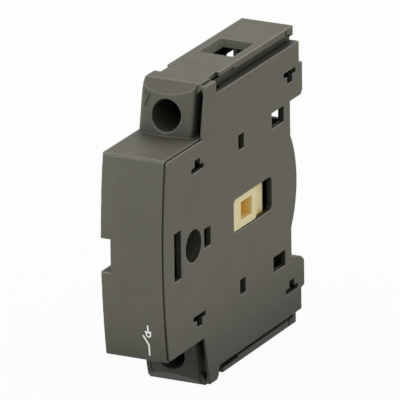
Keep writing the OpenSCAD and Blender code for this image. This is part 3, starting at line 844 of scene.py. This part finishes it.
@dataclass
class Markings:
    """The white contact sign on the nose, and the moulded number beside each screw hole."""

    ink: PadPrintedInk = field(default_factory=lambda: PadPrintedInk("white_pad_print"))
    # Painted shade: the raised numbers are painted darker than the housing's nylon, standing in for the
    # shade that makes them show; their pale edges are a painted highlight.
    number_nylon_painted_dark: SparkErodedNylon = field(default_factory=lambda: SparkErodedNylon(
        "moulded_number_painted_dark", shade="#33312a", cloud="#4a483e", painted_edge_highlight="#8f8d82"))
    number_stroke_mm: float = 0.36
    number_proud_mm: float = 0.1

    def marks(self) -> list[Mark]:
        """Draws up the contact sign and both numbers.

        Returns:
            The marks, each with its lines and rings.
        """
        sign = Mark("contact_sign", self.ink, lines_mm=(
            ((3.1, -14.2), (3.1, -15.5)), ((2.35, -15.75), (3.85, -15.75)),
            ((1.85, -16.65), (3.15, -18.85)), ((3.12, -18.75), (3.05, -21.2))),
            rings_mm=((3.15, -16.35, 0.5),))
        seven = Mark("upper_number", self.number_nylon_painted_dark, lines_mm=(
            ((-6.3, 30.9), (-4.75, 30.9)), ((-4.8, 30.8), (-5.9, 28.2))),
            stroke_mm=self.number_stroke_mm, proud_mm=self.number_proud_mm)
        eight = Mark("lower_number", self.number_nylon_painted_dark, rings_mm=((-6.1, -30.3, 0.55), (-6.1, -31.55, 0.65)),
                     stroke_mm=self.number_stroke_mm, proud_mm=self.number_proud_mm)
        return [sign, seven, eight]

    def build(self) -> None:
        """Builds every mark."""
        for mark in self.marks():
            mark.build()


@dataclass
class Studio:
    """A plain pale floor, soft light all round and the camera at the photograph's angle."""

    floor_half: float = 1.5
    floor_shade: str = "#c0bfba"
    # Share of plain white that the camera sees on the floor; the rest shows the soft shadow.
    white_share: float = 0.95
    sky_strength: float = 1.0
    lamp_reach: float = 0.7
    # The camera was fitted to the photograph, whose view is almost parallel: a long lens from far away.
    view_azimuth: float = math.radians(27.24)
    view_elevation: float = math.radians(19.14)
    view_roll: float = math.radians(0.83)
    view_distance: float = 2.0
    view_right_mm: float = -12.94
    view_up_mm: float = -4.87
    lens: float = 834.7
    sensor: float = 36.0

    def seen_directly(self, tree: bpy.types.NodeTree) -> bpy.types.NodeSocket:
        """Share that is one for rays from the camera, mirrors and glass.

        Args:
            tree: the node tree that takes the nodes.

        Returns:
            The output that carries the share.
        """
        path = add_node(tree, "ShaderNodeLightPath", {})
        direct = add_node(tree, "ShaderNodeMath",
                          {0: path.outputs["Is Camera Ray"], 1: path.outputs["Is Glossy Ray"]},
                          operation="MAXIMUM")
        return add_node(tree, "ShaderNodeMath",
                        {0: direct.outputs["Value"], 1: path.outputs["Is Transmission Ray"]},
                        operation="MAXIMUM").outputs["Value"]

    def sky(self) -> None:
        """Fills the room with even light and shows it as plain white."""
        world = bpy.data.worlds.new("studio")
        bpy.context.scene.world = world
        world.use_nodes = True
        tree = world.node_tree
        tree.nodes.clear()
        glow = add_node(tree, "ShaderNodeBackground",
                        {"Color": linear(WHITE), "Strength": self.sky_strength})
        white = add_node(tree, "ShaderNodeBackground", {"Color": linear(WHITE), "Strength": 1.0})
        shown = add_node(tree, "ShaderNodeMixShader",
                         {0: self.seen_directly(tree), 1: glow.outputs[0], 2: white.outputs[0]})
        add_node(tree, "ShaderNodeOutputWorld", {"Surface": shown.outputs[0]})

    def floor(self) -> bpy.types.Object:
        """Lays the floor under the pole.

        Returns:
            The floor.
        """
        shape = bmesh.new()
        down = Matrix.Translation((0.0, 0.0, CAD_BOX[0].z))
        bmesh.ops.create_grid(shape, x_segments=1, y_segments=1, size=self.floor_half, matrix=down)
        plate = mesh_object("studio_floor", shape)
        material = bpy.data.materials.new("pale_floor")
        material.use_nodes = True
        tree = material.node_tree
        tree.nodes.clear()
        paint = add_node(tree, "ShaderNodeBsdfDiffuse", {"Color": linear(self.floor_shade)})
        white = add_node(tree, "ShaderNodeEmission", {"Color": linear(WHITE), "Strength": 1.0})
        share = add_node(tree, "ShaderNodeMath", {0: self.seen_directly(tree), 1: self.white_share},
                         operation="MULTIPLY")
        mixed = add_node(tree, "ShaderNodeMixShader",
                         {0: share.outputs["Value"], 1: paint.outputs[0], 2: white.outputs[0]})
        add_node(tree, "ShaderNodeOutputMaterial", {"Surface": mixed.outputs[0]})
        coat(plate, material)
        return plate

    def lamp(self, name: str, azimuth: float, elevation: float, power: float, size: float,
             shade: str) -> None:
        """Hangs one soft box round the pole.

        Args:
            name: the lamp's name.
            azimuth: degrees from the front, positive to the right.
            elevation: degrees above the floor.
            power: watts.
            size: side of the square box.
            shade: sRGB colour of its light.
        """
        data = bpy.data.lights.new(name, "AREA")
        data.shape = "SQUARE"
        data.size = size
        data.energy = power
        data.color = linear(shade)[:3]
        a, e = math.radians(azimuth), math.radians(elevation)
        away = Vector((math.sin(a) * math.cos(e), -math.cos(a) * math.cos(e), math.sin(e)))
        middle = (CAD_BOX[0] + CAD_BOX[1]) / 2
        made = bpy.data.objects.new(name, data)
        made.location = middle + away * self.lamp_reach
        made.rotation_mode = "QUATERNION"
        made.rotation_quaternion = away.to_track_quat("Z", "Y")
        made.visible_camera = False
        bpy.context.scene.collection.objects.link(made)

    def camera(self) -> None:
        """Sets the camera where the photograph was taken from."""
        a, e, roll = self.view_azimuth, self.view_elevation, self.view_roll
        back = Vector((math.sin(a) * math.cos(e), -math.cos(a) * math.cos(e), math.sin(e)))
        right = Vector((math.cos(a), math.sin(a), 0.0))
        up = back.cross(right)
        stand = back * self.view_distance + right * mm(self.view_right_mm) + up * mm(self.view_up_mm)
        turned_right = right * math.cos(roll) - up * math.sin(roll)
        turned_up = right * math.sin(roll) + up * math.cos(roll)
        data = bpy.data.cameras.new("photo_camera")
        data.lens = self.lens
        data.sensor_width = self.sensor
        data.clip_start, data.clip_end = 0.1, 10.0
        made = bpy.data.objects.new("photo_camera", data)
        made.matrix_world = Matrix.Translation(stand) @ Matrix(
            (turned_right, turned_up, back)).transposed().to_4x4()
        bpy.context.scene.collection.objects.link(made)
        bpy.context.scene.camera = made

    def build(self) -> None:
        """Sets up the whole studio."""
        bpy.context.scene.view_settings.view_transform = "Standard"
        self.sky()
        self.floor()
        self.lamp("key", azimuth=-20.0, elevation=14.0, power=1.2, size=0.4, shade="#e4eaff")
        self.lamp("back", azimuth=190.0, elevation=60.0, power=0.6, size=0.6, shade=WHITE)
        self.camera()


def main() -> None:
    """Builds the studio, then dresses and builds the pole piece by piece."""
    logging.basicConfig(level=logging.INFO, format="%(name)s: %(message)s")
    Studio().build()
    Housing().dress()
    Drive().dress()
    FixedContacts().dress()
    Terminals().build()
    Markings().build()


if __name__ == "__main__":
    main()
